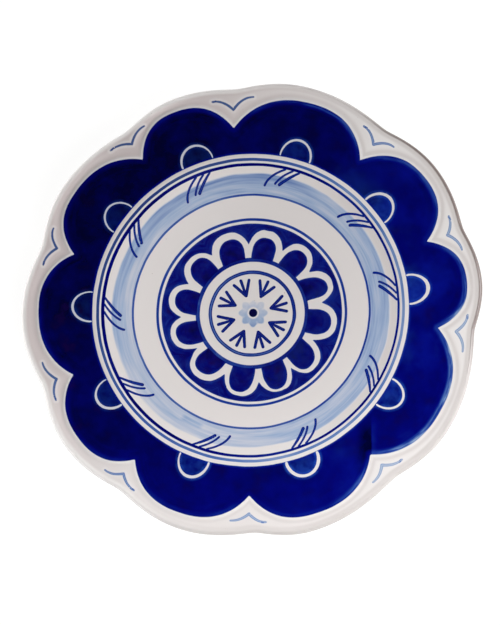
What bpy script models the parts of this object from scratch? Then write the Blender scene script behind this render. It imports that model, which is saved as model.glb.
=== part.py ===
"""A hand painted ceramic dish with a lobed rim, lying on its foot ring.

Metres, +Z up. The origin is where the axis that the dish is turned about meets the plane it rests on.
The clay is two pieces joined with slip, the pressed plate body and the turned foot ring.
Two coats of glaze are fused to it: an opaque one on the front, which runs over the lip, and another
one on the back, from the lip to the foot ring. The clay inside the foot ring is bare.
"""

import math

import bmesh
import bpy
from mathutils import Vector

MM = 0.001

# Section of the dish, measured from the rest plane.
FLOOR_Z = 11.5 * MM  # top of the floor at the centre
BOWL_RADIUS = 233.0 * MM  # the inside of the dish is part of a sphere this large
SHOULDER_IN = 88.0 * MM  # the sphere ends here
SHOULDER_OUT = 95.0 * MM  # and the flange begins here
FLANGE_SLOPE = 0.11
WALL_CENTRE = 6.0 * MM
WALL_FLANGE = 5.0 * MM
RIM_RADIUS = 138.0 * MM  # the edge, before it is lobed
LIP_RADIUS = 2.7 * MM  # the lip is rounded to this
LIP_HEIGHT = 0.6 * MM  # how far the lip stands over the flange's own slope
GROOVE_IN = 7.5 * MM  # the lip starts to rise this far inside the edge

# The rim's ten lobes, going round from +X towards +Y.
# Each has the notch before it and its own tip: angle in degrees, radius in mm.
LOBES = (
    (353.4, 135.2, 6.9, 139.8),
    (20.1, 136.4, 37.4, 140.3),
    (53.1, 135.8, 77.1, 140.2),
    (94.0, 135.8, 109.7, 138.4),
    (125.1, 134.0, 146.5, 137.6),
    (163.0, 133.1, 182.4, 138.2),
    (201.2, 132.9, 218.0, 137.7),
    (235.1, 133.6, 254.3, 138.7),
    (271.7, 135.1, 285.8, 139.5),
    (310.2, 134.6, 327.3, 139.8),
)
NOTCH_SOFTNESS = 0.15  # 0 would be a sharp notch
LOBES_START = 96.0 * MM  # inside this radius the dish is round

GLAZE = 0.5 * MM  # thickness of either coat
JOINT_GAP = 0.3 * MM  # between two pieces that touch

FOOT_RADIUS = 58.0 * MM
FOOT_REST_WIDTH = 3.0 * MM
FOOT_NECK_WIDTH = 9.0 * MM
FOOT_CHAMFER = 0.7 * MM
FOOT_FLARE_Z = 3.0 * MM  # the ring widens from here up to its neck

DISH_STEPS = 100
FOOT_STEPS = 80
LIP_STEPS = 4  # in the half circle round the lip

OPAQUE_GLAZE = (0.80, 0.78, 0.77)
BACK_GLAZE = (0.74, 0.70, 0.64)
CLAY = (0.66, 0.50, 0.36)


def clear_scene():
    for obj in list(bpy.data.objects):
        bpy.data.objects.remove(obj)


def front_height(radius):
    """Height of the dish's upper surface, without the lip."""
    if radius <= SHOULDER_IN:
        return FLOOR_Z + radius**2 / (2 * BOWL_RADIUS)
    wall_slope = SHOULDER_IN / BOWL_RADIUS
    shoulder = SHOULDER_OUT - SHOULDER_IN
    along = min((radius - SHOULDER_IN) / shoulder, 1)
    eased = wall_slope * (along - along**2 / 2) + FLANGE_SLOPE * along**2 / 2
    past = max(radius - SHOULDER_OUT, 0)
    return front_height(SHOULDER_IN) + shoulder * eased + past * FLANGE_SLOPE


def back_height(radius):
    """Height of the dish's under surface: the wall thins towards the rim."""
    share = radius / RIM_RADIUS
    return front_height(radius) - WALL_CENTRE + (WALL_CENTRE - WALL_FLANGE) * share


def front_line():
    """(radius, height) from the centre to the edge and round the lip to its under side."""
    radii = [r * MM for r in (0, 24, 44, 62, 77, 88, 91.5, 95, 116)]
    radii.append(RIM_RADIUS - GROOVE_IN)
    points = [(radius, front_height(radius)) for radius in radii]
    lip_r = RIM_RADIUS - LIP_RADIUS
    lip_z = front_height(lip_r) + LIP_HEIGHT - LIP_RADIUS
    for i in range(LIP_STEPS + 1):
        turn = math.pi * i / LIP_STEPS
        points.append((lip_r + LIP_RADIUS * math.sin(turn), lip_z + LIP_RADIUS * math.cos(turn)))
    return points


def back_line():
    """(radius, height) from the front coat's edge, under the lip, inwards to the foot ring."""
    lip_r, lip_z = front_line()[-1]
    foot_out = FOOT_RADIUS + FOOT_NECK_WIDTH / 2 + JOINT_GAP
    radii = [RIM_RADIUS - GROOVE_IN] + [r * MM for r in (112, 95, 87, 76)] + [foot_out]
    return [(lip_r - JOINT_GAP, lip_z)] + [(radius, back_height(radius)) for radius in radii]


def recess_line():
    """(radius, height) of the under side from the foot ring's outer wall to the centre."""
    foot_in = FOOT_RADIUS - FOOT_NECK_WIDTH / 2
    return [(radius, back_height(radius)) for radius in (foot_in, 30 * MM, 0)]


def inset(points, depth):
    """The line this far inside one that goes outwards over the dish and back under it."""
    moved = []
    for i, (radius, height) in enumerate(points):
        before = Vector(points[max(i - 1, 0)])
        after = Vector(points[min(i + 1, len(points) - 1)])
        along = (after - before).normalized()
        moved.append((radius + depth * along.y if radius else 0, height - depth * along.x))
    return moved


def foot_line():
    """(radius, height) down the ring's outer wall, across its rest face and up its inner wall."""
    wall = (
        (FOOT_REST_WIDTH / 2 + 2 * FOOT_CHAMFER, FOOT_FLARE_Z),
        (FOOT_REST_WIDTH / 2 + FOOT_CHAMFER, FOOT_CHAMFER),
        (FOOT_REST_WIDTH / 2, 0),
    )
    neck = FOOT_NECK_WIDTH / 2
    points = [(FOOT_RADIUS + neck, foot_top(FOOT_RADIUS + neck))]
    points += [(FOOT_RADIUS + half, height) for half, height in wall]
    points += [(FOOT_RADIUS - half, height) for half, height in reversed(wall)]
    points += [(radius, foot_top(radius)) for radius in (FOOT_RADIUS - neck, FOOT_RADIUS)]
    return points


def foot_top(radius):
    """Height of the ring's upper face, which follows the clay over it."""
    return back_height(radius) + GLAZE


def turned(name, profile, steps, closed):
    """An object turned about +Z from a profile in the XZ plane."""
    mesh = bpy.data.meshes.new(name)
    bm = bmesh.new()
    points = [bm.verts.new((radius, 0, height)) for radius, height in profile]
    for first, second in zip(points, points[1:]):
        bm.edges.new((first, second))
    if closed:
        bm.edges.new((points[-1], points[0]))
    bm.to_mesh(mesh)
    bm.free()
    obj = bpy.data.objects.new(name, mesh)
    bpy.context.scene.collection.objects.link(obj)
    screw = obj.modifiers.new("Turn", "SCREW")
    screw.axis = "Z"
    screw.angle = math.tau
    screw.steps = steps
    screw.render_steps = steps
    screw.use_merge_vertices = True
    screw.merge_threshold = 0.00001
    screw.use_smooth_shade = True
    return obj


def applied(obj):
    """The object with its modifiers applied to its own mesh."""
    bpy.context.view_layer.update()
    graph = bpy.context.evaluated_depsgraph_get()
    profile = obj.data
    obj.data = bpy.data.meshes.new_from_object(obj.evaluated_get(graph))
    obj.modifiers.clear()
    bpy.data.meshes.remove(profile)
    obj.data.name = obj.name
    return obj


def smooth_step(low, high, value):
    share = min(max((value - low) / (high - low), 0), 1)
    return share * share * (3 - 2 * share)


def edge_radius(angle):
    """Radius of the lobed edge in this direction, in degrees."""
    for i, (notch, notch_r, tip, tip_r) in enumerate(LOBES):
        next_notch, next_r = LOBES[(i + 1) % len(LOBES)][:2]
        past_notch = (angle - notch) % 360
        to_tip = (tip - notch) % 360
        to_next = (next_notch - notch) % 360
        if past_notch >= to_next:
            continue
        if past_notch <= to_tip:
            base, share = notch_r, past_notch / to_tip
        else:
            base, share = next_r, (to_next - past_notch) / (to_next - to_tip)
        swell = math.hypot(math.sin(share * math.pi / 2), NOTCH_SOFTNESS)
        rise = (swell - NOTCH_SOFTNESS) / (math.hypot(1, NOTCH_SOFTNESS) - NOTCH_SOFTNESS)
        return (base + (tip_r - base) * rise) * MM
    raise ValueError(f"no lobe at {angle} degrees")


def press_lobes(obj):
    """Moves the rim in and out to follow the lobes, and leaves the dish inside it round."""
    for vertex in obj.data.vertices:
        x, y, _ = vertex.co
        radius = math.hypot(x, y)
        share = smooth_step(LOBES_START, RIM_RADIUS, radius)
        if share == 0:
            continue
        edge = edge_radius(math.degrees(math.atan2(y, x)))
        scale = 1 + share * (edge - RIM_RADIUS) / radius
        vertex.co.x = x * scale
        vertex.co.y = y * scale


def ceramic(name, colour, roughness):
    material = bpy.data.materials.new(name)
    material.use_nodes = True
    shader = material.node_tree.nodes["Principled BSDF"]
    shader.inputs["Base Color"].default_value = (*colour, 1)
    shader.inputs["Roughness"].default_value = roughness
    shader.inputs["Metallic"].default_value = 0
    return material


def lobed(name, profile, material, closed):
    obj = applied(turned(name, profile, DISH_STEPS, closed))
    press_lobes(obj)
    obj.data.shade_smooth()
    obj.data.materials.append(material)
    return obj


def plate_body(clay):
    whole = front_line() + back_line() + recess_line()
    return lobed("plate_body", inset(whole, GLAZE + JOINT_GAP), clay, closed=False)


def front_glaze():
    line = front_line()
    coat = line + inset(line, GLAZE)[::-1]
    return lobed("front_glaze", coat, ceramic("front_glaze", OPAQUE_GLAZE, 0.15), closed=False)


def back_glaze():
    line = back_line()
    coat = line + inset(line, GLAZE)[::-1]
    return lobed("back_glaze", coat, ceramic("back_glaze", BACK_GLAZE, 0.2), closed=True)


def foot_ring(clay):
    obj = turned("foot_ring", foot_line(), FOOT_STEPS, closed=True)
    obj.data.materials.append(clay)
    return obj


def main():
    clear_scene()
    dish = bpy.data.collections.new("lobed_painted_dish")
    bpy.context.scene.collection.children.link(dish)
    clay = ceramic("clay", CLAY, 0.8)
    for obj in (plate_body(clay), foot_ring(clay), front_glaze(), back_glaze()):
        bpy.context.scene.collection.objects.unlink(obj)
        dish.objects.link(obj)


main()
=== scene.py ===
"""The looks of a lobed ceramic dish, painted by hand in cobalt blue on a glossy white glaze.

Lengths are in millimetres until a mesh is made. Angles go round from +X towards +Y, in degrees.
Colours are sRGB, from 0 to 255.
"""

import math

import bpy
import numpy as np
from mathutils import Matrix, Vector, kdtree


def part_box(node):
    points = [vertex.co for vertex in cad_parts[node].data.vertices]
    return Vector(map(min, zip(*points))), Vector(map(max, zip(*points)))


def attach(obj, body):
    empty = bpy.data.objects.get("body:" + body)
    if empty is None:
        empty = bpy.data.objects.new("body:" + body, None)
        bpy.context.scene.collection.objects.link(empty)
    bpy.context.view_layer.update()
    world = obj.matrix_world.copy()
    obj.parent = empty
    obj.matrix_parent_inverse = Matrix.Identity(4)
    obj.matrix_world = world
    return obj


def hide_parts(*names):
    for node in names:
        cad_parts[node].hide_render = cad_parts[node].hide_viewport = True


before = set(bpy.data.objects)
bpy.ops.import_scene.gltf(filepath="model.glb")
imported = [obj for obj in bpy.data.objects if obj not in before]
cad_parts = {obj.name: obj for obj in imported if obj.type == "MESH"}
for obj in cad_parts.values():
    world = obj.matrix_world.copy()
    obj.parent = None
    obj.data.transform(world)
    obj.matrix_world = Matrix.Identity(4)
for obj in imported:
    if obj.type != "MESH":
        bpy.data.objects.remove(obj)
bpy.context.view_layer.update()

MM = 0.001

# The section of the dish, as the CAD model has it.
GLAZE = 0.5
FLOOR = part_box("front_glaze")[0].z / MM + GLAZE
BOWL_RADIUS = 233.0
SHOULDER_IN = 88.0
SHOULDER_OUT = 95.0
FLANGE_SLOPE = 0.11
WALL_CENTRE = 6.0
WALL_FLANGE = 5.0
RIM_RADIUS = 138.0
LIP_RADIUS = 2.7
LIP_HEIGHT = 0.6
LOBES_START = 96.0
NOTCH_SOFTNESS = 0.15
FOOT_RADIUS = 58.0
FOOT_NECK_WIDTH = 9.0
FOOT_REST_WIDTH = 3.0
FOOT_CHAMFER = 0.7
FOOT_FLARE_Z = 3.0

# Finer shapes than the CAD model has.
HAIR = 0.03  # between two pieces that are fused together
FOOT_WEAR = 0.04  # how far the edges of the foot's rest face are worn back
FOOT_SINK = 0.2  # how far the foot ring reaches into the clay over it
LIP_CURVE_START = 127.0  # the under side curves up to the lip from here
LIP_CURVE_WIDTH = 8.0
POOL_DEPTH = 0.7  # the back coat is this much thicker where it meets the foot ring
POOL_WIDTH = 0.9
TURNING_DEPTH = 0.09  # marks of turning in the bare clay
TURNING_WAVES = 2.6  # radians of their wave to a millimetre
NUB_DEPTH = 0.8  # what the turning tool leaves in the middle
NUB_RADIUS = 4.5

# Lobed outlines: angle and radius of a notch, then of the tip after it.
EDGE = (
    (353.4, 135.2, 6.9, 139.8),
    (20.1, 136.4, 37.4, 140.3),
    (53.1, 135.8, 77.1, 140.2),
    (94.0, 135.8, 109.7, 138.4),
    (125.1, 134.0, 146.5, 137.6),
    (163.0, 133.1, 182.4, 138.2),
    (201.2, 132.9, 218.0, 137.7),
    (235.1, 133.6, 254.3, 138.7),
    (271.7, 135.1, 285.8, 139.5),
    (310.2, 134.6, 327.3, 139.8),
)
PETALS = (
    (353.3, 113.4, 6.8, 130.8),
    (20.3, 113.4, 35.9, 131.2),
    (53.6, 111.8, 73.2, 130.6),
    (95.4, 111.6, 111.4, 130.0),
    (125.5, 113.4, 146.3, 128.8),
    (162.4, 112.2, 180.4, 127.6),
    (200.7, 113.0, 218.1, 128.4),
    (233.5, 113.4, 252.0, 129.6),
    (270.5, 112.8, 288.6, 130.3),
    (309.2, 114.6, 331.0, 130.4),
)
# Each white horseshoe: its angle, its top's radius, half its width, and how thick its line is at the
# left, at the top and at the right, looking outwards.
EYES = (
    (6.3, 107.6, 8.9, 1.1, 2.1, 1.2),
    (38.0, 107.3, 9.3, 1.3, 1.6, 0.9),
    (73.8, 107.2, 9.4, 0.9, 1.2, 1.1),
    (109.8, 106.6, 9.7, 1.2, 1.2, 0.7),
    (144.5, 107.0, 9.5, 0.9, 1.0, 0.8),
    (178.9, 107.3, 9.1, 1.1, 1.3, 0.7),
    (211.8, 106.8, 9.1, 1.3, 1.4, 0.7),
    (250.5, 107.5, 9.1, 1.3, 1.6, 0.9),
    (289.4, 106.9, 9.7, 1.8, 1.4, 1.8),
    (327.7, 107.6, 9.1, 1.1, 1.2, 1.0),
)
EYE_FOOT = 96.5  # they stand at this radius
# The groups of three short strokes over the pale band, and the strokes of a group: how far round it
# starts and ends, the radius where it ends, how far it bows and its width.
HATCHES = (3.1, 33.7, 70.6, 106.6, 140.8, 175.0, 207.9, 247.9, 287.1, 324.9)
HATCH_START = 88.3  # radius where the strokes start
HATCH_STROKES = (
    (0, 7.0, 79.0, 0.15, 2.0),
    (2.7, 8.9, 79.2, 0.6, 1.4),
    (5.7, 13.5, 77.5, 1.3, 1.5),
)
ROSETTE = (
    (8.0, 42.4, 20.7, 52.0),
    (35.6, 42.2, 50.4, 51.6),
    (64.2, 42.2, 79.2, 51.3),
    (93.0, 42.4, 109.0, 51.4),
    (124.6, 43.0, 139.1, 50.6),
    (155.0, 42.4, 169.0, 51.2),
    (183.1, 42.9, 197.0, 50.9),
    (212.8, 39.2, 228.9, 51.1),
    (246.6, 40.6, 262.4, 51.6),
    (276.2, 42.8, 292.6, 51.4),
    (305.0, 41.0, 318.4, 51.7),
    (335.4, 40.6, 351.0, 52.1),
)
# Each blue petal inside it: its top's angle and radius, half its width, and how far its foot leans
# round from its top.
ROSETTE_FILLS = (
    (19.8, 48.7, 6.75, 2.6),
    (49.6, 48.0, 7.35, 0.8),
    (79.0, 46.9, 7.1, 0.7),
    (107.8, 47.3, 7.75, 0.9),
    (138.2, 47.6, 7.65, 0.7),
    (168.9, 47.6, 7.45, 0.6),
    (196.9, 47.8, 7.35, 1.0),
    (228.5, 47.65, 7.75, 1.2),
    (260.9, 49.35, 7.4, 0.7),
    (290.2, 49.9, 7.4, 0.7),
    (317.9, 48.85, 7.7, 1.5),
    (351.5, 48.65, 7.75, 0.1),
)
FILL_SHOULDER = 39.0  # the petals start to round off here
FILL_ROUNDNESS = 2.25  # 2 would be an ellipse
FILL_TAPER = 0.92  # width of a petal's foot, as a share of its width at the shoulder
# Each small mark like a bird between two petals: angle and radius of its body and of its two wing tips.
BIRDS = (
    (19.8, 126.2, 24.4, 131.2, 14.8, 131.6),
    (53.1, 124.1, 58.2, 130.2, 48.3, 130.4),
    (95.0, 123.0, 100.5, 129.6, 89.3, 130.1),
    (125.5, 125.0, 131.2, 129.9, 120.0, 130.4),
    (162.3, 123.1, 167.8, 128.3, 157.4, 129.5),
    (200.3, 123.3, 205.7, 128.3, 194.8, 128.6),
    (233.5, 124.4, 238.5, 129.1, 229.0, 129.6),
    (270.5, 124.0, 275.0, 129.4, 265.6, 128.3),
    (309.8, 124.0, 314.7, 129.6, 305.1, 129.0),
    (352.7, 124.5, 357.4, 130.4, 347.6, 130.2),
)
# The arrows round the middle: their angles, and where their strokes start and end.
ARROWS = (17.1, 64.3, 109.4, 153.0, 197.5, 244.3, 288.0, 332.1)
ARROW_APEX = 11.9
ARROW_SIDE_END = 20.9
ARROW_SPREAD = 13.3  # degrees from the middle stroke's end to a side stroke's end
ARROW_MIDDLE = (13.5, 21.6)

# How dense the colour of the strokes is.
ARROW_INK = 0.91
HATCH_INK = 0.88

# The painted bands, by radius.
ARROW_CIRCLE = 25.6
RING_IN = 31.9  # the solid ring round the arrows
RING_OUT = 34.4
MEDALLION = 54.85
PETAL_BAND = 95.4

# The soft groove pressed into the clay outside the petals, and the rounding at the rim.
GROOVE_OUTSIDE_TIP = 2.3
GROOVE_OUTSIDE_NOTCH = 3.4
GROOVE_DEPTH = 0.35
BANK_WIDTH = 2.0
ROUNDING = 2.2

# The camera looks down on the dish from about 12 degrees off its axis.
CAMERA_AZIMUTH = 27
CAMERA_ELEVATION = 77.9
CAMERA_DISTANCE = 1.5  # metres
CAMERA_ASIDE = (-1.5, 0.9)
LENS = 142.3
SENSOR_WIDTH = 36

# Each lamp: its angle round the dish and off the vertical, its distance and size in metres, its power
# in watts, and whether the glaze mirrors it.
LAMPS = (
    ("key", 290, 26, 0.42, 0.25, 1.16, False),
    ("fill", 12, 68, 0.9, 0.5, 4.6, True),
    ("low_side", 163, 84, 1.2, 0.4, 11.0, False),
)
FLOOR_REACH = 6.0  # metres from the dish to the studio floor's edges

AROUND = 960  # directions in the finest rings
COARSER = 480  # and in the rings of the skins that carry no painting
DIRECTIONS = np.arange(AROUND) * 360 / AROUND
FAR = 99.0  # a distance for where there is nothing near
NEAR = 9.0  # distances from the painted outlines are kept up to this


def shares(count):
    """Even steps up to 1, without the 0."""
    return np.linspace(0, 1, count + 1)[1:]


def smooth(share):
    share = np.clip(share, 0, 1)
    return share * share * (3 - 2 * share)


def edge_rise(share):
    """How a lobe of the rim climbs from its notch to its tip, 0 to 1."""
    swell = np.hypot(np.sin(share * math.pi / 2), NOTCH_SOFTNESS)
    return (swell - NOTCH_SOFTNESS) / (math.hypot(1, NOTCH_SOFTNESS) - NOTCH_SOFTNESS)


def petal_rise(share):
    """A painted petal climbs more steeply than the rim and has a rounder top."""
    return 1 - (1 - share) ** 2.6


def lobed(angles, rows, rise):
    """Radius of a lobed outline in these directions."""
    radii = np.zeros(len(angles))
    for (notch, notch_r, tip, tip_r), (next_notch, next_r, _, _) in zip(rows, rows[1:] + rows[:1]):
        past = (angles - notch) % 360
        to_tip = (tip - notch) % 360
        to_next = (next_notch - notch) % 360
        up = past <= to_tip
        down = (past > to_tip) & (past < to_next)
        radii[up] = notch_r + (tip_r - notch_r) * rise(past[up] / to_tip)
        share = (to_next - past[down]) / (to_next - to_tip)
        radii[down] = next_r + (tip_r - next_r) * rise(share)
    return radii


def rim_edge(angles):
    return lobed(angles, EDGE, edge_rise)


def petal_edge(angles):
    return lobed(angles, PETALS, petal_rise)


def groove_line(angles):
    rows = tuple(
        (notch, notch_r + GROOVE_OUTSIDE_NOTCH, tip, tip_r + GROOVE_OUTSIDE_TIP)
        for notch, notch_r, tip, tip_r in PETALS
    )
    return lobed(angles, rows, petal_rise)


def rosette_edge(angles):
    return lobed(angles, ROSETTE, petal_rise)


def fill_edge(angles):
    """Outline of the rosette's twelve blue petals, which all stand on the solid ring."""
    radii = np.full(len(angles), RING_OUT - 1.0)
    turn = np.linspace(0, math.pi / 2, 60)  # from a petal's top to its shoulder
    for middle, top, half, lean in ROSETTE_FILLS:
        across = np.append(half * np.sin(turn) ** (2 / FILL_ROUNDNESS), half * FILL_TAPER)
        out = FILL_SHOULDER + (top - FILL_SHOULDER) * np.cos(turn) ** (2 / FILL_ROUNDNESS)
        out = np.append(out, RING_IN)
        shift = lean * (top - out) / (top - RING_OUT)
        for side in (-1, 1):
            reach = across + side * shift
            bearing = np.maximum.accumulate(np.degrees(np.arctan2(reach, out)))
            away = side * ((angles - middle + 180) % 360 - 180)
            inside = (away >= 0) & (away < bearing[-1])
            line = np.interp(away[inside], bearing, np.hypot(reach, out))
            radii[inside] = np.maximum(radii[inside], line)
    return radii


def front_height(radius):
    """Height of the upper surface over the rest plane, without groove and lip."""
    wall_slope = SHOULDER_IN / BOWL_RADIUS
    shoulder = SHOULDER_OUT - SHOULDER_IN
    along = np.clip((radius - SHOULDER_IN) / shoulder, 0, 1)
    bowl = np.minimum(radius, SHOULDER_IN) ** 2 / (2 * BOWL_RADIUS)
    eased = wall_slope * (along - along**2 / 2) + FLANGE_SLOPE * along**2 / 2
    return FLOOR + bowl + shoulder * eased + np.maximum(radius - SHOULDER_OUT, 0) * FLANGE_SLOPE


def back_height(radius):
    """Height of the under surface."""
    share = radius / RIM_RADIUS
    return front_height(radius) - WALL_CENTRE + (WALL_CENTRE - WALL_FLANGE) * share


def front_lines():
    """(radii, heights) of the lines round the dish, from its centre over the lip to the under side.

    Each is an array with a row for a line and a column for a direction.
    """
    circles = np.concatenate([np.arange(0, RING_OUT, 1.0), np.linspace(RING_OUT, LOBES_START, 54)])
    groove = groove_line(DIRECTIONS)
    edge = rim_edge(DIRECTIONS)
    crest = edge - ROUNDING
    crest_z = front_height(RIM_RADIUS - LIP_RADIUS) + LIP_HEIGHT
    radii = [np.full(AROUND, radius) for radius in circles]
    heights = [front_height(row) for row in radii]

    bank = groove - BANK_WIDTH
    for share in shares(26):
        radii.append(LOBES_START + (bank - LOBES_START) * share)
        heights.append(front_height(radii[-1]))
    for share in shares(5):
        radii.append(bank + BANK_WIDTH * share)
        heights.append(front_height(radii[-1]) - GROOVE_DEPTH * smooth(share))
    bottom = heights[-1]
    for share in shares(9):
        radii.append(groove + (crest - groove) * share)
        heights.append(bottom + (crest_z - bottom) * smooth(share))
    for turn in shares(12) * math.pi:
        reach = ROUNDING if turn <= math.pi / 2 else LIP_RADIUS
        radii.append(edge - reach * (1 - math.sin(turn)))
        heights.append(np.full(AROUND, crest_z - LIP_RADIUS * (1 - math.cos(turn))))
    return np.array(radii), np.array(heights)


def everywhere(values):
    """Each value in every direction round the dish."""
    return np.repeat(np.array(values)[:, None], AROUND, axis=1)


def back_lines():
    """(radii, heights) from the front coat's end under the lip inwards to the foot ring."""
    flange = [135.2, 133, 130.5, 127, 122, 117, 112, 106, 100, 96, 93, 90, 87, 83, 78, 73, 69, 66]
    foot_out = FOOT_RADIUS + FOOT_NECK_WIDTH / 2
    nominal = np.concatenate([flange, foot_out + np.array([2.2, 1.5, 0.9, 0.4, -0.2])])
    lip_end = front_height(RIM_RADIUS - LIP_RADIUS) + LIP_HEIGHT - 2 * LIP_RADIUS
    near_lip = smooth((nominal - LIP_CURVE_START) / LIP_CURVE_WIDTH)
    pooled = POOL_DEPTH * np.exp(-np.maximum(nominal - foot_out, 0) / POOL_WIDTH)
    height = back_height(nominal) * (1 - near_lip) + lip_end * near_lip - pooled
    lobed_share = smooth((nominal - LOBES_START) / (RIM_RADIUS - LOBES_START))
    radii = nominal[:, None] + lobed_share[:, None] * (rim_edge(DIRECTIONS) - RIM_RADIUS)
    return radii, everywhere(height)


def inset(lines, depth):
    """The same lines, this far under the surface that they lie in."""
    radii, heights = lines
    out, up = np.gradient(radii, axis=0), np.gradient(heights, axis=0)
    length = np.maximum(np.hypot(out, up), 1e-9)
    return np.where(radii > 0, radii + depth * up / length, 0), heights - depth * out / length


def ring(radii, heights, count):
    """Points round one line, count of them."""
    if radii[0] < 0.001:
        return [(0, 0, heights[0])]
    step = AROUND // count
    turn = np.radians(DIRECTIONS[::step])
    return np.column_stack([radii[::step] * np.cos(turn), radii[::step] * np.sin(turn), heights[::step]])


def fine_count(radius):
    """How many points a line of the painted skin has."""
    for limit, count in ((6, 60), (14, 120), (RING_OUT, 240), (LOBES_START, 480)):
        if radius < limit:
            return count
    return AROUND


def rings(lines, most=AROUND, first=None):
    """The lines as rings of points, each with as many as the one before it, or twice or half as many."""
    made = []
    before = first
    for radii, heights in zip(*lines):
        count = min(fine_count(radii.mean()), most)
        if before:
            count = min(max(count, before // 2), before * 2)
        made.append(ring(radii, heights, count))
        before = len(made[-1]) if len(made[-1]) > 1 else None
    return made


def bridge(first, second):
    """Faces between two rings of point numbers."""
    faces = []
    few = min(len(first), len(second))
    for i in range(max(len(first), len(second)) if few == 1 else few):
        a, a_next = first[i % len(first)], first[(i + 1) % len(first)]
        b, b_next = second[i % len(second)], second[(i + 1) % len(second)]
        if len(first) == 1:
            faces.append((a, b, b_next))
        elif len(second) == 1:
            faces.append((a, b, a_next))
        elif len(first) == len(second):
            faces.append((a, b, b_next, a_next))
        elif len(first) < len(second):
            b, middle, b_next = second[2 * i], second[2 * i + 1], second[(2 * i + 2) % len(second)]
            faces += [(a, b, middle), (a, middle, a_next), (a_next, middle, b_next)]
        else:
            a, middle, a_next = first[2 * i], first[2 * i + 1], first[(2 * i + 2) % len(first)]
            faces += [(a, b, middle), (middle, b, b_next), (middle, b_next, a_next)]
    return faces


def solid(name, point_rings, material, looped=False):
    """A smooth closed mesh through rings of points. If looped, the last ring joins the first."""
    numbers = []
    points = []
    for points_round in point_rings:
        numbers.append(range(len(points), len(points) + len(points_round)))
        points.extend(points_round)
    faces = []
    for first, second in zip(numbers, numbers[1:] + (numbers[:1] if looped else [])):
        faces += bridge(first, second)
    mesh = bpy.data.meshes.new(name)
    mesh.from_pydata((np.array(points) * MM).tolist(), [], faces)
    mesh.shade_smooth()
    mesh.materials.append(material)
    obj = bpy.data.objects.new(name, mesh)
    bpy.context.scene.collection.objects.link(obj)
    return obj


def front_coat(lines):
    """Rings of the front coat: its painted skin, and back along its inner skin, which is coarser."""
    outer = rings(lines)
    radii, heights = inset(lines, GLAZE)
    kept = sorted({0, *range(len(radii) - 1, 0, -4)}, reverse=True)
    inner = rings((radii[kept], heights[kept]), COARSER // 2, first=len(outer[-1]))
    return outer + inner


# ---------------------------------------------------------------- strokes of the brush


class Stroke:
    """A brush stroke: its middle line, half its width at each point and how dense its colour is."""

    def __init__(self, points, widths, density):
        points = np.array(points, float)
        length = np.concatenate([[0], np.cumsum(np.hypot(*np.diff(points, axis=0).T))])
        even = np.linspace(0, length[-1], max(3, int(length[-1] / 0.5) + 1))
        self.points = np.column_stack([np.interp(even, length, axis) for axis in points.T])
        share = np.linspace(0, 1, len(widths))
        self.half_widths = np.interp(even / length[-1], share, widths) / 2
        self.density = density

    def measure(self, places):
        """For each place: how far it is left of the stroke and past its end, and its half width."""
        starts, steps = self.points[:-1], np.diff(self.points, axis=0)
        lengths = np.hypot(*steps.T)
        along_dir = steps / lengths[:, None]
        rel = places[:, None] - starts[None]
        along = (rel * along_dir).sum(2)
        side = along_dir[None, :, 0] * rel[:, :, 1] - along_dir[None, :, 1] * rel[:, :, 0]
        past = np.maximum(np.maximum(-along, along - lengths), 0)
        best = np.argmin(np.hypot(side, past), axis=1)
        rows = np.arange(len(places))
        side, past, along = side[rows, best], past[rows, best], along[rows, best]
        at_end = ((best == 0) & (along < 0)) | ((best == len(steps) - 1) & (along > lengths[best]))
        near = np.where(at_end, side, np.copysign(np.hypot(side, past), side))
        share = np.clip(along / lengths[best], 0, 1)
        width = self.half_widths[best] * (1 - share) + self.half_widths[best + 1] * share
        return near, np.where(at_end, past, 0), width


def at(angle, radius):
    turn = np.radians(angle)
    return np.stack([radius * np.cos(turn), radius * np.sin(turn)], axis=-1)


def arrow_strokes():
    """Three strokes that meet at a point near the middle and spread outwards."""
    made = []
    for angle in ARROWS:
        apex = at(angle, ARROW_APEX)
        for spread in (-ARROW_SPREAD, ARROW_SPREAD):
            end = at(angle + spread, ARROW_SIDE_END)
            made.append(Stroke([apex, end], (2.0, 1.8), ARROW_INK))
        ends = [at(angle, radius) for radius in ARROW_MIDDLE]
        made.append(Stroke(ends, (1.6, 1.7, 1.8, 1.9), ARROW_INK))
    return made


def hatch_strokes():
    """Groups of three slanting strokes over the pale band."""
    made = []
    share = np.linspace(0, 1, 9)
    for angle in HATCHES:
        for start, end, end_r, bow, width in HATCH_STROKES:
            turn = angle + start + (end - start) * share + 4 * bow * share * (1 - share)
            radius = HATCH_START + (end_r - HATCH_START) * share
            made.append(Stroke(at(turn, radius), (1.2, width * 0.9, width), HATCH_INK))
    return made


def across_dish(angle, azimuth):
    """1 on this side of the dish, 0 on the other."""
    return 0.5 + 0.5 * math.cos(math.radians(angle - azimuth))


def eye_strokes():
    """A white horseshoe at the foot of each petal, open towards the bowl."""
    made = []
    sweep = np.linspace(-math.pi / 2, math.pi / 2, 41)
    for angle, top, half, *widths in EYES:
        foot = [EYE_FOOT - 0.6]
        out = np.concatenate([foot, EYE_FOOT + (top - EYE_FOOT) * np.cos(sweep), foot])
        side = np.concatenate([[-half + 0.1], half * np.sin(sweep), [half - 0.1]])
        arc = at(angle, 1) * out[:, None] - at(angle + 90, 1) * side[:, None]
        left, middle, right = (width + 0.25 for width in widths)
        taper = (left * 0.8, left, (left + middle) / 2, middle, (middle + right) / 2, right, right * 0.8)
        made.append(Stroke(arc, taper, 0.14 * across_dish(angle, 150)))
    return made


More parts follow.
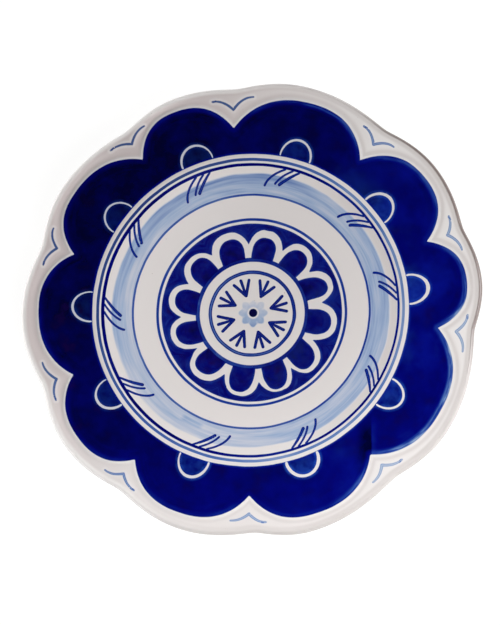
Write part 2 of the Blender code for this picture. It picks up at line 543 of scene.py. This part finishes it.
def bird_strokes():
    """A small mark like a bird's wings outside each notch between two petals."""
    made = []
    for body, body_r, *tips in BIRDS:
        # The birds' colour is denser towards the upper left: partly their paint, partly painted shade.
        density = 0.66 - 0.29 * across_dish(body, -35)
        thin = 1 - 0.3 * across_dish(body, 145)
        share = np.linspace(0, 1, 9)
        for tip, tip_r in (tips[:2], tips[2:]):
            wing = at(body + (tip - body) * share, body_r + (tip_r - body_r) * (1 - (1 - share) ** 2))
            made.append(Stroke(wing, (1.9 * thin, 1.7 * thin, 1.5 * thin, 1.2 * thin), density))
        first_touch = at(np.linspace(tips[0] - 1.1, tips[0] - 0.2, 3), tips[1] - 0.1)
        made.append(Stroke(first_touch, (1.2 * thin, 1.6 * thin, 1.4 * thin), density + 0.14))
    return made


def nearest_point_tree(points):
    tree = kdtree.KDTree(len(points))
    for i, (x, y) in enumerate(points):
        tree.insert((x, y, 0), i)
    tree.balance()
    return tree


def add_strokes(mesh, strokes, reach):
    """Stores at each corner of each face where it lies in the stroke that is nearest the face.

    The four numbers are how far the corner is across the stroke and past its end, half the stroke's
    width there and its density. Faces further than reach from every stroke get a large distance.
    """
    owners = np.repeat(np.arange(len(strokes)), [len(stroke.points) for stroke in strokes])
    tree = nearest_point_tree(np.vstack([stroke.points for stroke in strokes]))
    corners = np.full((len(mesh.loops), 4), (FAR, FAR, 0, 0), np.float32)
    near = {}
    for polygon in mesh.polygons:
        centre = polygon.center / MM
        _, found, distance = tree.find((centre.x, centre.y, 0))
        if distance < reach:
            near.setdefault(int(owners[found]), []).extend(polygon.loop_indices)
    spots = np.array([mesh.vertices[loop.vertex_index].co[:2] for loop in mesh.loops]) / MM
    for number, loops in near.items():
        side, past, width = strokes[number].measure(spots[loops])
        density = np.full(len(loops), strokes[number].density)
        corners[loops] = np.column_stack([side, past, width, density])
    layer = mesh.color_attributes.new("stroke", "FLOAT_COLOR", "CORNER")
    layer.data.foreach_set("color", corners.ravel())


# ---------------------------------------------------------------- distances to painted outlines


def even_line(outline, step=0.15):
    """Points at even steps along a lobed outline."""
    fine = np.arange(0, 360, 0.02)
    line = at(fine, outline(fine))
    line = np.vstack([line, line[:1]])
    length = np.concatenate([[0], np.cumsum(np.hypot(*np.diff(line, axis=0).T))])
    even = np.arange(0, length[-1], step)
    return np.column_stack([np.interp(even, length, axis) for axis in line.T])


def distances(spots, outline):
    """Signed distance of each spot from a lobed outline, below 0 inside it."""
    angles = np.degrees(np.arctan2(spots[:, 1], spots[:, 0])) % 360
    apart = np.clip(np.hypot(*spots.T) - outline(angles), -NEAR, NEAR)
    line = even_line(outline)
    tree = nearest_point_tree(line)
    for i in np.flatnonzero(np.abs(apart) < NEAR):
        _, found, _ = tree.find((*spots[i], 0))
        nearest = FAR
        for a, b in ((line[found - 1], line[found]), (line[found], line[(found + 1) % len(line)])):
            step = b - a
            share = min(max(float((spots[i] - a) @ step / (step @ step)), 0), 1)
            nearest = min(nearest, math.hypot(*(spots[i] - a - share * step)))
        apart[i] = math.copysign(min(nearest, NEAR), apart[i])
    return apart


def add_number(mesh, name, values):
    mesh.attributes.new(name, "FLOAT", "POINT").data.foreach_set("value", values.astype(np.float32))


def add_outlines(mesh):
    """Stores at each vertex how far it is outside each painted outline, and outside the rim."""
    spots = np.array([vertex.co[:2] for vertex in mesh.vertices]) / MM
    radii = np.hypot(*spots.T)
    for name, outline, low, high in (
        ("petal_edge", petal_edge, 100, 142),
        ("rosette_edge", rosette_edge, 30, 62),
        ("fill_edge", fill_edge, 30, 58),
    ):
        values = np.where(radii < low, -NEAR, NEAR)
        near = (radii > low) & (radii < high)
        values[near] = distances(spots[near], outline)
        add_number(mesh, name, values)
    eyes = []
    for angle, top, half, *_ in EYES:
        out = (spots @ at(angle, 1) - EYE_FOOT) / (top - EYE_FOOT)
        eyes.append(np.hypot(out, spots @ at(angle + 90, 1) / half))
    add_number(mesh, "eye", np.min(eyes, axis=0) * NEAR - NEAR)
    angles = np.degrees(np.arctan2(spots[:, 1], spots[:, 0])) % 360
    add_number(mesh, "rim", radii - rim_edge(angles))


# ---------------------------------------------------------------- materials


class Number:
    """A number that a material's nodes work out at each point. Arithmetic on it adds nodes."""

    def __init__(self, tree, socket):
        self.tree = tree
        self.socket = socket

    def math(self, operation, *others):
        node = self.tree.nodes.new("ShaderNodeMath")
        node.operation = operation
        for value, slot in zip((self, *others), node.inputs):
            feed(self.tree, value, slot)
        return Number(self.tree, node.outputs[0])

    def __add__(self, other):
        return self.math("ADD", other)

    def __sub__(self, other):
        return self.math("SUBTRACT", other)

    def __rsub__(self, other):
        return self.math("MULTIPLY_ADD", -1, other)

    def __mul__(self, other):
        return self.math("MULTIPLY", other)

    def __truediv__(self, other):
        return self.math("DIVIDE", other)

    __radd__ = __add__
    __rmul__ = __mul__

    def distance(self, other):
        return (self - other).math("ABSOLUTE")

    def most(self, other):
        return self.math("MAXIMUM", other)

    def rise(self, low, high, start=0, end=1):
        """Goes smoothly from start at low to end at high."""
        node = self.tree.nodes.new("ShaderNodeMapRange")
        node.interpolation_type = "SMOOTHSTEP"
        for value, slot in zip((self, low, high, start, end), node.inputs):
            feed(self.tree, value, slot)
        return Number(self.tree, node.outputs[0])

    def below(self, limit, soft=0.15):
        """1 where this is under the limit, 0 over it, with a soft edge."""
        return self.rise(limit + soft, limit - soft)

    def towards(self, other, share):
        """This number where share is 0, the other where it is 1."""
        node = self.tree.nodes.new("ShaderNodeMix")
        for value, slot in zip((share, self, other), (node.inputs[0], node.inputs[2], node.inputs[3])):
            feed(self.tree, value, slot)
        return Number(self.tree, node.outputs[0])


def feed(tree, value, slot):
    if isinstance(value, Number):
        tree.links.new(value.socket, slot)
    else:
        slot.default_value = value


class Surface:
    """A Principled material and the numbers that its nodes can start from."""

    def __init__(self, name):
        self.material = bpy.data.materials.new(name)
        self.material.use_nodes = True
        self.tree = self.material.node_tree
        self.shader = self.tree.nodes["Principled BSDF"]
        coordinates = self.tree.nodes.new("ShaderNodeTexCoord")
        scaled = self.tree.nodes.new("ShaderNodeVectorMath")
        scaled.operation = "SCALE"
        scaled.inputs["Scale"].default_value = 1 / MM
        self.tree.links.new(coordinates.outputs["Object"], scaled.inputs[0])
        self.place = scaled.outputs[0]
        split = self.tree.nodes.new("ShaderNodeSeparateXYZ")
        self.tree.links.new(self.place, split.inputs[0])
        self.x, self.y, self.z = (Number(self.tree, socket) for socket in split.outputs)
        self.radius = (self.x * self.x + self.y * self.y).math("SQRT")

    def vector(self, *numbers):
        node = self.tree.nodes.new("ShaderNodeCombineXYZ")
        for value, slot in zip(numbers, node.inputs):
            feed(self.tree, value, slot)
        return node.outputs[0]

    def around(self, across, along):
        """Coordinates for streaks that follow the wheel: fine over the radius, slow round the dish."""
        inverse = self.radius.most(1.0).math("POWER", -1) * along
        return self.vector(self.radius * across, self.x * inverse, self.y * inverse)

    def bearing(self, azimuth):
        """1 on this side of the dish, -1 on the other."""
        turn = math.radians(azimuth)
        return (self.x * math.cos(turn) + self.y * math.sin(turn)) / self.radius.most(1.0)

    def noise(self, scale, detail=2.0, where=None, roughness=0.5):
        """Noise from -1 to 1, at this many cycles per millimetre."""
        node = self.tree.nodes.new("ShaderNodeTexNoise")
        node.inputs["Scale"].default_value = scale
        node.inputs["Detail"].default_value = detail
        node.inputs["Roughness"].default_value = roughness
        self.tree.links.new(where or self.place, node.inputs["Vector"])
        return Number(self.tree, node.outputs[0]) * 2 - 1

    def attribute(self, name, output="Fac"):
        node = self.tree.nodes.new("ShaderNodeAttribute")
        node.attribute_name = name
        return node.outputs[output]

    def stored(self, name):
        return Number(self.tree, self.attribute(name))

    def ramp(self, number, stops):
        """Colour for a number: stops are (number, sRGB colour from 0 to 255)."""
        node = self.tree.nodes.new("ShaderNodeValToRGB")
        ramp = node.color_ramp
        while len(ramp.elements) < len(stops):
            ramp.elements.new(0.5)
        for element, (position, colour) in zip(ramp.elements, stops):
            element.position = position
            element.color = (*linear(colour), 1)
        feed(self.tree, number, node.inputs[0])
        return node.outputs[0]

    def tint(self, colour, other, share):
        """The colour where share is 0, the other (sRGB) where it is 1."""
        node = self.tree.nodes.new("ShaderNodeMix")
        node.data_type = "RGBA"
        self.tree.links.new(colour, node.inputs[6])
        node.inputs[7].default_value = (*linear(other), 1)
        feed(self.tree, share, node.inputs[0])
        return node.outputs[2]

    def finish(self, colour, roughness, height, bump):
        """Links the colour, the roughness and a bump from height, in mm, to the shader."""
        self.tree.links.new(colour, self.shader.inputs["Base Color"])
        feed(self.tree, roughness, self.shader.inputs["Roughness"])
        node = self.tree.nodes.new("ShaderNodeBump")
        node.inputs["Strength"].default_value = bump
        node.inputs["Distance"].default_value = MM
        feed(self.tree, height, node.inputs["Height"])
        self.tree.links.new(node.outputs[0], self.shader.inputs["Normal"])
        return self.material


def linear(colour):
    return [(c / 255 / 12.92) if c <= 10 else ((c / 255 + 0.055) / 1.055) ** 2.4 for c in colour]


# Cobalt over white glaze, from none of it to as dense as it gets.
COBALT = (
    (0.0, (229, 223, 221)),
    (0.15, (205, 207, 218)),
    (0.30, (162, 180, 209)),
    (0.50, (86, 118, 178)),
    (0.70, (32, 62, 152)),
    (0.82, (9, 28, 128)),
    (0.90, (1, 3, 110)),
    (1.0, (0, 1, 46)),
)
THIN_COBALT = (34, 78, 178)
BRIGHT_COBALT = (6, 22, 152)
VIOLET = (24, 4, 72)
DULL_COBALT = (44, 36, 20)
# A blue-grey for painted shade in the flange's lines.
SHADE_SLATE = (56, 72, 108)

# The white glaze and what shows through it, and colours for the painted light and shade on it.
PAINTED_SHADE_WHITE = (210, 198, 197)
SHOULDER_SHADE_WHITE = (198, 191, 190)
HIGHLIGHT_WHITE = (249, 249, 249)
LIT_RAISED_WHITE = (252, 249, 247)
LIT_RIM_WHITE = (255, 251, 249)
SHADE_DIM_WHITE = (204, 197, 194)
BROWN_AND_SHADED_EDGE = (104, 84, 80)
THIN_EDGE = (196, 186, 176)
SPECK = (150, 132, 118)


def bowl_paint(glaze, wobble):
    """Density of the colour in the bowl: the pale band, the banding lines and the arrows' circle."""
    r = glaze.radius + wobble * 0.22
    slow = glaze.noise(1.0, 2, glaze.around(0.02, 2.5))
    streaks = glaze.noise(1.0, 3, glaze.around(0.8, 3.0))
    broad = glaze.noise(1.0, 2, glaze.around(0.28, 2.0))

    wash_edge = 83.6 + slow * 1.6
    wash = r.rise(71.9, 72.4) * r.rise(wash_edge + 0.9, wash_edge - 0.6)
    heavier = glaze.bearing(25) * 0.06 + glaze.bearing(135).rise(0.0, 0.95) * r.rise(76.0, 81.0) * 0.13
    first_touch = glaze.bearing(243).rise(0.9945, 0.9985) * r.distance(76.3).rise(2.4, 1.0) * 0.12
    ink = wash * (0.26 + streaks * 0.13 + broad * 0.14 + slow * 0.06 + heavier + first_touch)

    heavy = glaze.bearing(-5)
    pale = glaze.bearing(-25)
    for line_r, half, density in (
        (57.2, 0.8, 0.70),
        (71.7, 0.65, 0.64 + heavy * 0.05),
        (89.2, 0.85 - heavy * 0.14, 0.88 - pale * 0.02),
        (92.2, 0.85, 0.56 - pale * 0.12),
    ):
        line = r.distance(line_r).below(half)
        ink = ink.most(line * (density + slow * 0.14 + streaks * 0.06))

    circle = (r + wobble * 0.2).distance(ARROW_CIRCLE)
    core = circle.below(0.42, 0.28) * (0.2 + glaze.bearing(205) * 0.09 + slow * 0.15)
    return ink.most(circle.below(1.05) * (0.84 - core))


def medallion_paint(glaze, ink, wobble):
    """Adds the dark medallion with its rosette of twelve outlined petals."""
    r = glaze.radius + wobble * 0.15
    ragged = glaze.noise(0.22, 2)
    rosette = glaze.stored("rosette_edge") + wobble * 0.15 + ragged * 0.35
    fill = glaze.stored("fill_edge") + wobble * 0.1 + ragged * 0.25
    brushed = glaze.noise(1.0, 3, glaze.vector(rosette * 0.5, glaze.x * 0.09, glaze.y * 0.09))
    dabs = glaze.noise(0.17, 3)

    ground = r.rise(RING_IN - 0.15, RING_IN + 0.15) * r.rise(MEDALLION + 0.15, MEDALLION - 0.15)
    left = glaze.bearing(205).rise(0.2, 1.0) * 0.08
    fringe = rosette.rise(1.8, 0.1, 0, 0.08) + r.rise(MEDALLION - 1.6, MEDALLION, 0, 0.08)
    shade = r.rise(RING_OUT - 0.4, RING_OUT + 0.4, 0.875, 0.858) - left * r.below(RING_OUT + 1)
    ink = ink.most(ground * (shade - fringe + brushed * 0.16 + dabs * 0.08))

    white = rosette.below(0, 0.18) * r.rise(RING_OUT - 0.1, RING_OUT + 0.2)
    ink = ink * (1 - white)
    depth = fill.rise(-0.1, -1.8, 0.79, 0.89) + fill.rise(-3.5, -6.5) * 0.02
    petals = fill.below(0, 0.18) * r.below(52, 0.5) * r.rise(33.4, 33.8)
    return ink.most(petals * (depth + dabs * 0.11 + brushed * 0.08))


def petal_paint(glaze, ink, wobble):
    """Adds the ten large petals on the flange, thinner along some of their edges."""
    r = glaze.radius + wobble * 0.2
    edge = glaze.stored("petal_edge") + wobble * 0.2
    streaks = glaze.noise(1.0, 3, glaze.vector(edge * 0.5, glaze.x * 0.06, glaze.y * 0.06))
    shade = ((glaze.x * 0.82 - glaze.y * 0.57) / 125).rise(-1.1, 1.1, 0.985, 0.905)
    brushed = glaze.noise(0.03, 2) * 0.035 + glaze.noise(0.11, 4) * 0.055 + streaks * 0.03
    inner = r.rise(PETAL_BAND, PETAL_BAND + 1.8, 0.15, 0)
    right = glaze.bearing(-24).rise(0.70, 0.97, 0.11, 0.55)
    upper_right = glaze.bearing(60).rise(0.6, 1.0, 0.0, 0.2)
    patchy = glaze.noise(0.02, 2).rise(-0.6, 0.0) * glaze.radius.rise(113.5, 123.0)
    streaky = 0.3 + patchy * 0.7 * streaks.rise(-0.3, 0.25)
    outer = edge.rise(-4.0, -0.9) * (right + upper_right) * streaky
    petal = edge.below(0, 0.2) * r.rise(PETAL_BAND - 0.15, PETAL_BAND + 0.15)
    return ink.most(petal * (shade + brushed - inner - outer + petal_overlap(glaze, wobble)))


def petal_overlap(glaze, wobble):
    """Where one petal was painted over the end of the next: denser up to a line, thinner past it."""
    across = glaze.x + wobble * 0.4
    denser = across.rise(62.0, 72.0) * across.rise(73.7, 72.6) * 0.13
    thinner = across.rise(77.5, 73.4) * across.rise(72.6, 73.7) * 0.04
    return (denser - thinner) * glaze.y.rise(-64.0, -79.0)


def centre_paint(glaze, ink):
    """Adds the dot near the middle and the pale flower round it, which has no petal at its top."""
    x, y = glaze.x - 0.42, glaze.y - 0.65
    r = (x * x + y * y).math("SQRT")
    turn = y.math("ARCTAN2", x)
    lobes = (turn * 8).math("COSINE")
    missing = turn.distance(math.pi / 2).below(0.3, 0.15) * 1.3
    seams = lobes.rise(-0.5, -1.0) * r.rise(4.5, 7.0) * 0.08
    flower = (r - lobes * 0.85 + missing).below(8.0, 0.6)
    density = 0.25 - y * 0.015 - seams + glaze.noise(0.35, 2) * 0.09
    ink = ink.most(flower * density) * r.rise(3.1, 4.0)
    return ink.most(r.below(2.55) * 0.985)


def stroke_paint(glaze, ink):
    """Adds the single strokes: blue ones over the white, and the white horseshoes in the petals.

    Returns the density, how near the place is to a horseshoe and how far it is outside the strokes.
    """
    split = glaze.tree.nodes.new("ShaderNodeSeparateXYZ")
    glaze.tree.links.new(glaze.attribute("stroke", "Vector"), split.inputs[0])
    side, past, half = (Number(glaze.tree, socket) for socket in split.outputs)
    density = Number(glaze.tree, glaze.attribute("stroke", "Alpha"))
    uneven = glaze.noise(0.5, 2) * 0.12
    apart = (side * side + past * past).math("SQRT") - half + uneven
    inside = apart.below(0, 0.14)
    white = density.below(0.2, 0.05)
    near = apart.rise(2.1, 0.1) * white * side.distance(0).below(20)
    ink = ink.towards(density, inside * white)
    core = (apart + half * 0.55).below(0, 0.2) * 0.12
    return ink.most(inside * (1 - white) * (density - core)), near * (1 - inside), apart


def cobalt_shades(glaze, colour, ink, near_eye):
    """Thin cobalt in and round the horseshoes, paler patches towards the right, and bright, violet or
    dull patches.
    """
    painted = ink.rise(0.5, 0.8)
    dabs = glaze.noise(0.2, 2).rise(-0.7, 0.5)
    in_eye = glaze.stored("eye").below(-1.2, 0.8) * glaze.radius.rise(95.8, 97.0)
    thin = (in_eye + near_eye * 2.0) * glaze.bearing(-35).rise(-1.0, 1.0, 0.11, 0.38)
    patches = glaze.noise(0.05, 3).rise(-0.1, 0.5)
    # Paler cobalt in patches in the petals' inner parts, towards the right of the dish.
    worn = glaze.radius.rise(112.0, 97.0) * glaze.bearing(0).rise(-0.3, 0.9) * patches * 0.16
    colour = glaze.tint(colour, THIN_COBALT, (thin * dabs + worn) * painted)

    bright = glaze.noise(0.045, 3).rise(-0.15, 0.5) * glaze.bearing(-15).rise(0.0, 1.0)
    bright = bright * ink.rise(0.8, 0.86) * glaze.radius.rise(94.0, 96.0)
    colour = glaze.tint(colour, BRIGHT_COBALT, bright * 0.5)

    left_petals = glaze.radius.rise(94.0, 97.0) * glaze.bearing(192).rise(0.75, 1.0) * 0.6
    violet = glaze.radius.rise(56, 54, 0.25, 1) + left_petals
    violet = violet * glaze.noise(0.11, 2).rise(0.1, 0.6) * ink.rise(0.84, 0.9)
    colour = glaze.tint(colour, VIOLET, violet * 0.7)

    in_medallion = glaze.radius.rise(56, 54) * ink.rise(0.5, 0.7)
    dull = in_medallion * glaze.noise(0.2, 3).rise(-0.5, 0.5, 0.02, 0.16)
    return glaze.tint(colour, DULL_COBALT, dull)


def flange_shades(glaze, colour, ink, bare, apart):
    """Painted shade on one side of the flange, in its white and in its lines, and painted highlights
    beside the painting.
    """
    # Painted shade: the flange's white is greyer towards the upper left.
    painted_shade_flange = glaze.radius.rise(93.0, 97.0) * glaze.bearing(148).rise(-0.1, 0.9)
    colour = glaze.tint(colour, PAINTED_SHADE_WHITE, painted_shade_flange * bare * 0.86)
    # Painted shade: the white on the bowl's shoulder is greyer towards the right.
    shoulder = glaze.radius.rise(80.0, 86.0) * glaze.radius.rise(93.0, 90.0)
    shoulder = shoulder * glaze.bearing(0).rise(0.2, 0.95)
    colour = glaze.tint(colour, SHOULDER_SHADE_WHITE, shoulder * bare * 0.5)

    edge = glaze.stored("petal_edge")
    upper_left = glaze.bearing(145).rise(-0.8, 0.8)
    # Painted highlights: white lines beside the petals, stronger towards the upper left, and beside the
    # birds there.
    highlight_by_petal = edge.rise(-0.1, 0.5) * edge.rise(3.0, 0.6) * (0.25 + upper_left * 0.25)
    highlight_by_bird = apart.rise(0.0, 0.5) * apart.rise(2.2, 0.6) * edge.rise(2.0, 3.0) * upper_left * 0.3
    colour = glaze.tint(colour, HIGHLIGHT_WHITE, (highlight_by_petal + highlight_by_bird) * bare)

    # Painted shade: the birds and the outer line turn blue-grey towards the upper left.
    bird = apart.below(0.1, 0.2) * edge.rise(1.5, 2.5) * glaze.bearing(145).rise(-0.1, 0.9)
    line = glaze.radius.distance(92.2).below(1.2, 0.3) * ink.rise(0.2, 0.4)
    painted_shade_slate = bird + line * glaze.bearing(145).rise(0.2, 0.9)
    return glaze.tint(colour, SHADE_SLATE, painted_shade_slate * 0.5)


def rim_shades(glaze, colour, bare):
    """Painted light and shade on the glaze at the rim, and its edge, brown partly from thin glaze and
    partly as painted shade.
    """
    edge = glaze.stored("petal_edge")
    rim = glaze.stored("rim")
    # Painted light: the flange between the petals and the rim is lighter towards the right.
    painted_light_raised = edge.rise(3.0, 5.5) * rim.rise(-3.5, -5.0) * glaze.bearing(15).rise(-0.2, 0.8)
    colour = glaze.tint(colour, LIT_RAISED_WHITE, painted_light_raised * bare * 0.4)
    # Painted light: the rim lightens towards its edge on the left.
    painted_light_rim = rim.rise(-4.4, -1.8) * glaze.bearing(165).rise(-0.3, 0.6)
    colour = glaze.tint(colour, LIT_RIM_WHITE, painted_light_rim * bare)
    # Painted shade: the outer part of the rim and the groove are greyer towards the lower right.
    painted_shade_dimmer = rim.rise(-5.5, -3.5) * 0.45 + edge.rise(1.0, 2.2) * edge.rise(4.2, 2.8) * 0.32
    colour = glaze.tint(colour, SHADE_DIM_WHITE, painted_shade_dimmer * bare * glaze.bearing(-20).rise(-0.35, 0.7))
    # A brown line at the edge towards the right: partly thin glaze, partly painted shade.
    browned_and_shaded = rim.rise(-2.6, -1.5) * glaze.bearing(23).rise(0.7, 0.95)
    colour = glaze.tint(colour, BROWN_AND_SHADED_EDGE, browned_and_shaded * 0.85)
    return glaze.tint(colour, THIN_EDGE, rim.rise(-0.8, 0.2) * 0.25)


def painted_glaze():
    """White glaze with the whole painting in it."""
    glaze = Surface("painted_glaze")
    wobble = glaze.noise(0.09, 2)
    ink = bowl_paint(glaze, wobble)
    ink = medallion_paint(glaze, ink, wobble)
    ink = petal_paint(glaze, ink, wobble)
    ink = centre_paint(glaze, ink)
    ink, near_eye, apart = stroke_paint(glaze, ink)
    bare = ink.below(0.05, 0.05)

    colour = glaze.ramp(ink, COBALT)
    colour = cobalt_shades(glaze, colour, ink, near_eye)
    colour = flange_shades(glaze, colour, ink, bare, apart)
    colour = rim_shades(glaze, colour, bare)
    specks = glaze.noise(0.9, 0).rise(0.76, 0.82) * bare
    colour = glaze.tint(colour, SPECK, specks * 0.4)
    roughness = 0.15 + glaze.noise(0.05, 3) * 0.03
    height = glaze.noise(0.07, 2) * 0.08 + glaze.noise(0.6, 2) * 0.006
    return glaze.finish(colour, roughness, height, 0.6)


def back_glaze():
    """Plain glaze with faint rings, specks of iron and a pool of it where it meets the foot ring."""
    glaze = Surface("back_glaze")
    rings_round = glaze.noise(1.0, 3, glaze.around(0.35, 1.5))
    colour = glaze.ramp(0.5 + rings_round * 0.5, ((0.0, (214, 205, 192)), (1.0, (230, 224, 215))))
    specks = glaze.noise(0.7, 1).rise(0.52, 0.62)
    colour = glaze.tint(colour, (126, 98, 72), specks * 0.55)
    pooled = glaze.radius.rise(66.5, 63.0)
    colour = glaze.tint(colour, (196, 196, 178), pooled * 0.5)
    height = rings_round * 0.10 + glaze.noise(0.12, 2) * 0.12
    return glaze.finish(colour, 0.2 + glaze.noise(0.08, 2) * 0.05, height, 0.6)


def bare_clay(name, dark, light):
    """Unglazed clay with turning marks, grain and specks, rubbed grey where it stands."""
    clay = Surface(name)
    turning = clay.noise(1.0, 3, clay.around(1.6, 1.0))
    grain = clay.noise(1.6, 4, roughness=0.7)
    colour = clay.ramp(0.5 + turning * 0.6 + grain * 0.5, ((0.0, dark), (1.0, light)))
    specks = clay.noise(0.8, 1).rise(0.48, 0.58)
    colour = clay.tint(colour, (92, 58, 36), specks * 0.7)
    worn = clay.z.rise(0.5, 0.0) * (0.6 + grain * 0.4)
    colour = clay.tint(colour, (150, 132, 112), worn * 0.6)
    height = turning * 0.12 + grain * 0.05
    return clay.finish(colour, 0.82 + grain * 0.1, height, 0.8)


# ---------------------------------------------------------------- the pieces


def painted_front(lines):
    piece = solid("painted_front", front_coat(lines), painted_glaze())
    strokes = arrow_strokes() + hatch_strokes() + eye_strokes() + bird_strokes()
    add_strokes(piece.data, strokes, reach=4.0)
    add_outlines(piece.data)
    return piece


def glazed_back():
    lines = back_lines()
    outer = rings(lines, COARSER)
    radii, heights = inset(lines, GLAZE)
    inner = rings((radii[::-1], heights[::-1]), COARSER)
    return solid("glazed_back", outer + inner, back_glaze(), looped=True)


def clay_body(front, material):
    """The clay between the two coats; inside the foot ring it is bare, with the marks of turning."""
    top_r, top_z = inset(front, GLAZE + HAIR)
    kept = sorted({0, *range(len(top_r) - 1, 0, -2)})
    under = inset(back_lines(), GLAZE + HAIR)
    radii = np.concatenate([np.arange(FOOT_RADIUS, 20, -0.8), np.arange(20, 0, -1.0), [0]])
    marks = TURNING_DEPTH * np.sin(radii * TURNING_WAVES)
    marks += NUB_DEPTH * np.exp(-((radii / NUB_RADIUS) ** 2))
    bare = everywhere(radii), everywhere(back_height(radii) - marks)
    rounds = []
    for lines in ((top_r[kept], top_z[kept]), under, bare):
        rounds += rings(lines, COARSER)
    return solid("clay_body", rounds, material)


def foot_side(top):
    """(distance from the ring's middle, height) up one side of the foot ring, from its rest face."""
    half = FOOT_REST_WIDTH / 2
    neck = FOOT_NECK_WIDTH / 2
    flare = half + 2 * FOOT_CHAMFER
    chamfer_top = FOOT_CHAMFER + FOOT_WEAR
    side = [(half - 0.2, 0.0), (half, FOOT_WEAR)]
    for turn in np.linspace(0.25, math.pi / 2, 5):
        side.append((half + FOOT_CHAMFER * math.sin(turn), chamfer_top - FOOT_CHAMFER * math.cos(turn)))
    for share in shares(4):
        height = chamfer_top + (FOOT_FLARE_Z - chamfer_top) * share
        side.append((half + FOOT_CHAMFER * (1 + share), height))
    for share in shares(6):
        side.append((flare + (neck - flare) * share**2.2, FOOT_FLARE_Z + (top - FOOT_FLARE_Z) * share))
    return side


def foot_ring(material):
    """The turned ring that the dish stands on, set into the clay over it."""
    walls = []
    for sign in (1, -1):
        top = back_height(FOOT_RADIUS + sign * FOOT_NECK_WIDTH / 2) + FOOT_SINK
        walls.append([(FOOT_RADIUS + sign * out, height) for out, height in foot_side(top)])
    outside, inside = walls
    radii, heights = zip(*outside[::-1], *inside)
    lines = everywhere(radii), everywhere(heights)
    return solid("turned_foot", rings(lines, COARSER), material, looped=True)


def studio_floor():
    """A pale floor that glows a little, as an evenly lit one does in a studio."""
    mesh = bpy.data.meshes.new("studio_floor")
    reach = FLOOR_REACH
    corners = [(-reach, -reach, 0), (reach, -reach, 0), (reach, reach, 0), (-reach, reach, 0)]
    mesh.from_pydata(corners, [], [(0, 1, 2, 3)])
    paper = bpy.data.materials.new("paper")
    paper.use_nodes = True
    shader = paper.node_tree.nodes["Principled BSDF"]
    shader.inputs["Base Color"].default_value = (0.22, 0.22, 0.22, 1)
    shader.inputs["Roughness"].default_value = 1.0
    shader.inputs["Specular IOR Level"].default_value = 0.0
    shader.inputs["Emission Color"].default_value = (1, 1, 1, 1)
    shader.inputs["Emission Strength"].default_value = 0.9
    mesh.materials.append(paper)
    floor = bpy.data.objects.new("studio_floor", mesh)
    bpy.context.scene.collection.objects.link(floor)


def direction(azimuth, off_vertical):
    """Unit vector this far off the vertical, towards this angle round the dish."""
    turn, tilt = math.radians(azimuth), math.radians(off_vertical)
    return Vector((math.cos(turn) * math.sin(tilt), math.sin(turn) * math.sin(tilt), math.cos(tilt)))


def softbox(name, towards, distance, size, power, seen_in_gloss):
    """A round lamp this far away (metres), facing the origin."""
    data = bpy.data.lights.new(name, "AREA")
    data.shape = "DISK"
    data.size = size
    data.energy = power
    light = bpy.data.objects.new(name, data)
    light.location = towards * distance
    light.rotation_mode = "QUATERNION"
    light.rotation_quaternion = towards.to_track_quat("Z", "Y")
    light.visible_glossy = seen_in_gloss
    light.visible_camera = False
    bpy.context.scene.collection.objects.link(light)


def daylight():
    """A pale surround that darkens overhead, so that the glaze mirrors nothing bright from above."""
    world = bpy.data.worlds.new("studio")
    world.use_nodes = True
    tree = world.node_tree
    coordinates = tree.nodes.new("ShaderNodeTexCoord")
    split = tree.nodes.new("ShaderNodeSeparateXYZ")
    tree.links.new(coordinates.outputs["Generated"], split.inputs[0])
    up = Number(tree, split.outputs["Z"])
    strength = up.rise(0.0, 0.08, 0.85, 0.52) * up.rise(0.14, 0.40, 1.0, 0.03)
    background = tree.nodes["Background"]
    background.inputs["Color"].default_value = (1, 1, 1, 1)
    feed(tree, strength, background.inputs["Strength"])
    bpy.context.scene.world = world


def camera():
    azimuth, elevation = math.radians(CAMERA_AZIMUTH), math.radians(CAMERA_ELEVATION)
    back = Vector((
        math.sin(azimuth) * math.cos(elevation),
        -math.cos(azimuth) * math.cos(elevation),
        math.sin(elevation),
    ))
    data = bpy.data.cameras.new("camera")
    data.sensor_width = SENSOR_WIDTH
    data.lens = LENS
    eye = bpy.data.objects.new("camera", data)
    eye.rotation_mode = "QUATERNION"
    eye.rotation_quaternion = Vector((0, 0, 1)).rotation_difference(back)
    aside = eye.rotation_quaternion @ (Vector((*CAMERA_ASIDE, 0)) * MM)
    eye.location = Vector((0, 0, FLOOR * MM)) + back * CAMERA_DISTANCE + aside
    bpy.context.scene.collection.objects.link(eye)
    bpy.context.scene.camera = eye


def main():
    lines = front_lines()
    front = painted_front(lines)
    back = glazed_back()
    clay = clay_body(lines, bare_clay("clay", (150, 108, 74), (206, 166, 126)))
    foot = foot_ring(bare_clay("foot_clay", (160, 122, 90), (214, 180, 142)))
    for piece, node, slot in (
        (front, "front_glaze", "front_glaze"),
        (back, "back_glaze", "back_glaze"),
        (clay, "plate_body", "clay"),
        (foot, "foot_ring", "foot_clay"),
    ):
        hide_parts(node)
        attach(piece, "root")
    studio_floor()
    daylight()
    for name, azimuth, off_vertical, *lamp in LAMPS:
        softbox(name, direction(azimuth, off_vertical), *lamp)
    camera()
    bpy.context.scene.view_settings.view_transform = "Standard"
    bpy.context.view_layer.update()


main()
